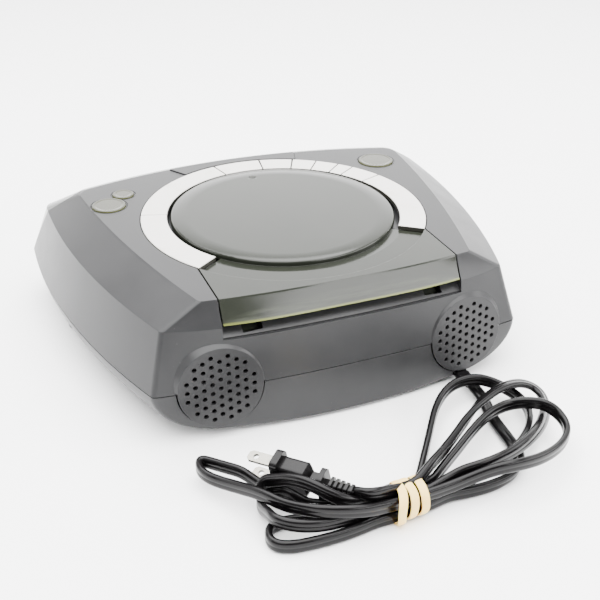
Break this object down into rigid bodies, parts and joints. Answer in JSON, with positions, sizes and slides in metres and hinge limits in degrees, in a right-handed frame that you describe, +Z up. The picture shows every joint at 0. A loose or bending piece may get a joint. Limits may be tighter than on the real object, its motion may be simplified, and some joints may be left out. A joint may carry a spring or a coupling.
{
  "type": "clock radio with disc player",
  "caption": "Table-top clock radio with a top-loading disc player under a hinged lid, round rear loudspeaker grilles and a banded mains cord.",
  "frame": {"origin": "centre of the case's footprint, on the table under its feet", "axes": "+Z up, +Y to the rear where the cord leaves, +X to the left of a viewer who faces the front's rear side, that is to the user's right"},
  "size_m": [0.293, 0.3266, 0.0798],
  "materials": {
    "case_pearl": "dark grey moulded plastic with a soft sheen",
    "lid_plastic": "glossy slightly green translucent plastic",
    "lens_smoke": "smoky transparent plastic",
    "key_silver": "silver painted keys",
    "button_pearl": "grey moulded buttons with a glossy top",
    "black_plastic": "matt black plastic",
    "well_black": "black moulded well",
    "rubber_black": "black rubber",
    "band_rubber": "tan natural rubber",
    "cord_black": "black flexible vinyl",
    "steel": "zinc plated steel",
    "nickel": "nickel plated brass",
    "board": "circuit board laminate",
    "speaker_paper": "paper cone",
    "winding": "copper winding under tape",
    "lamination": "laminated core",
    "display_glass": "display cell"
  },
  "bodies": {
    "case": {"upper_shell": "case_pearl", "lower_shell": "case_pearl", "front_lens": "lens_smoke", "rubber_feet": "rubber_black", "case_screws": "steel", "disc_well": "well_black", "ring_trim_right": "key_silver", "ring_trim_left": "key_silver", "ring_label_arc": "key_silver", "key_board": "board", "button_board_right": "board", "button_board_left": "board", "drive_plate": "steel", "drive_dampers": "rubber_black", "drive_screws": "steel", "guide_rods": "steel", "spindle_motor": "steel", "feed_motor": "steel", "main_board": "board", "rotary_controls": "black_plastic", "transformer": "lamination", "transformer_coil": "winding", "loudspeaker_right": "speaker_paper", "loudspeaker_left": "speaker_paper", "display_module": "display_glass", "lid_hinge_pins": "steel", "strain_relief": "cord_black", "mains_cord": "cord_black", "cord_hank": "cord_black", "rubber_band": "band_rubber", "plug_body": "cord_black", "plug_blades": "nickel"},
    "lid": {"disc_lid": "lid_plastic"},
    "clamp": {"disc_clamp": "black_plastic"},
    "turntable": {"turntable": "black_plastic"},
    "pickup": {"pickup_sled": "black_plastic"},
    "feed_gear": {"feed_gear": "black_plastic"},
    "feed_pinion": {"feed_pinion": "black_plastic"},
    "latch": {"lid_latch": "black_plastic"},
    "snooze": {"snooze_bar": "case_pearl"},
    "battery_door": {"battery_door": "case_pearl"},
    "tuning_wheel": {"tuning_wheel": "black_plastic"},
    "volume_wheel": {"volume_wheel": "black_plastic"},
    "key_1": {"ring_key_1": "key_silver"},
    "key_2": {"ring_key_2": "key_silver"},
    "key_3": {"ring_key_3": "key_silver"},
    "key_4": {"ring_key_4": "key_silver"},
    "key_5": {"ring_key_5": "key_silver"},
    "key_6": {"ring_key_6": "key_silver"},
    "button_right": {"button_right": "button_pearl"},
    "button_small": {"button_small": "button_pearl"},
    "button_left": {"button_left": "button_pearl"}
  },
  "joints": [
    {"name": "lid_hinge", "type": "hinge", "parent": "case", "child": "lid", "pos_m": [0, 0.09025, 0.055], "axis": [-1, 0, 0], "range_deg": [0, 65]},
    {"name": "clamp_spin", "type": "hinge", "parent": "lid", "child": "clamp", "pos_m": [0, -0.00025, 0.0748], "axis": [0, 0, 1], "continuous": true},
    {"name": "spindle_spin", "type": "hinge", "parent": "case", "child": "turntable", "pos_m": [0, -0.00025, 0.0695], "axis": [0, 0, 1], "continuous": true},
    {"name": "pickup_slide", "type": "slide", "parent": "case", "child": "pickup", "axis": [0, -1, 0], "range_m": [0, 0.0315]},
    {"name": "gear_spin", "type": "hinge", "parent": "case", "child": "feed_gear", "pos_m": [0.0246, -0.04625, 0.062], "axis": [0, 0, 1], "range_deg": [0, 288]},
    {"name": "pinion_spin", "type": "hinge", "parent": "case", "child": "feed_pinion", "pos_m": [0.0316, -0.05115, 0.062], "axis": [0, 0, 1], "continuous": true},
    {"name": "latch_slide", "type": "slide", "parent": "case", "child": "latch", "axis": [0, -1, 0], "range_m": [0, 0.0016], "stiffness_N_per_m": 400, "springref_m": -0.0005},
    {"name": "snooze_press", "type": "slide", "parent": "case", "child": "snooze", "axis": [0, 0, -1], "range_m": [0, 0.0012], "stiffness_N_per_m": 800, "springref_m": -0.0005},
    {"name": "battery_door_hinge", "type": "hinge", "parent": "case", "child": "battery_door", "pos_m": [0, -0.01755, 0.0038], "axis": [1, 0, 0], "range_deg": [0, 95]},
    {"name": "tuning_turn", "type": "hinge", "parent": "case", "child": "tuning_wheel", "pos_m": [0.125, -0.02025, 0.017], "axis": [0, 0, 1], "range_deg": [-150, 150]},
    {"name": "volume_turn", "type": "hinge", "parent": "case", "child": "volume_wheel", "pos_m": [-0.125, -0.02025, 0.017], "axis": [0, 0, 1], "range_deg": [-150, 150]},
    {"name": "key_1_press", "type": "slide", "parent": "case", "child": "key_1", "axis": [0, 0, -1], "range_m": [0, 0.0012], "stiffness_N_per_m": 600, "springref_m": -0.0005},
    {"name": "key_2_press", "type": "slide", "parent": "case", "child": "key_2", "axis": [0, 0, -1], "range_m": [0, 0.0012], "stiffness_N_per_m": 600, "springref_m": -0.0005},
    {"name": "key_3_press", "type": "slide", "parent": "case", "child": "key_3", "axis": [0, 0, -1], "range_m": [0, 0.0012], "stiffness_N_per_m": 600, "springref_m": -0.0005},
    {"name": "key_4_press", "type": "slide", "parent": "case", "child": "key_4", "axis": [0, 0, -1], "range_m": [0, 0.0012], "stiffness_N_per_m": 600, "springref_m": -0.0005},
    {"name": "key_5_press", "type": "slide", "parent": "case", "child": "key_5", "axis": [0, 0, -1], "range_m": [0, 0.0012], "stiffness_N_per_m": 600, "springref_m": -0.0005},
    {"name": "key_6_press", "type": "slide", "parent": "case", "child": "key_6", "axis": [0, 0, -1], "range_m": [0, 0.0012], "stiffness_N_per_m": 600, "springref_m": -0.0005},
    {"name": "button_right_press", "type": "slide", "parent": "case", "child": "button_right", "axis": [0, 0, -1], "range_m": [0, 0.0012], "stiffness_N_per_m": 600, "springref_m": -0.0005},
    {"name": "button_small_press", "type": "slide", "parent": "case", "child": "button_small", "axis": [0, 0, -1], "range_m": [0, 0.0012], "stiffness_N_per_m": 600, "springref_m": -0.0005},
    {"name": "button_left_press", "type": "slide", "parent": "case", "child": "button_left", "axis": [0, 0, -1], "range_m": [0, 0.0012], "stiffness_N_per_m": 600, "springref_m": -0.0005}
  ],
  "couplings": [
    {"joint": "clamp_spin", "follows": "spindle_spin", "ratio": 1},
    {"joint": "gear_spin", "follows": "pickup_slide", "rad_per_m": 156.25},
    {"joint": "pinion_spin", "follows": "pickup_slide", "rad_per_m": -466.2}
  ]
}
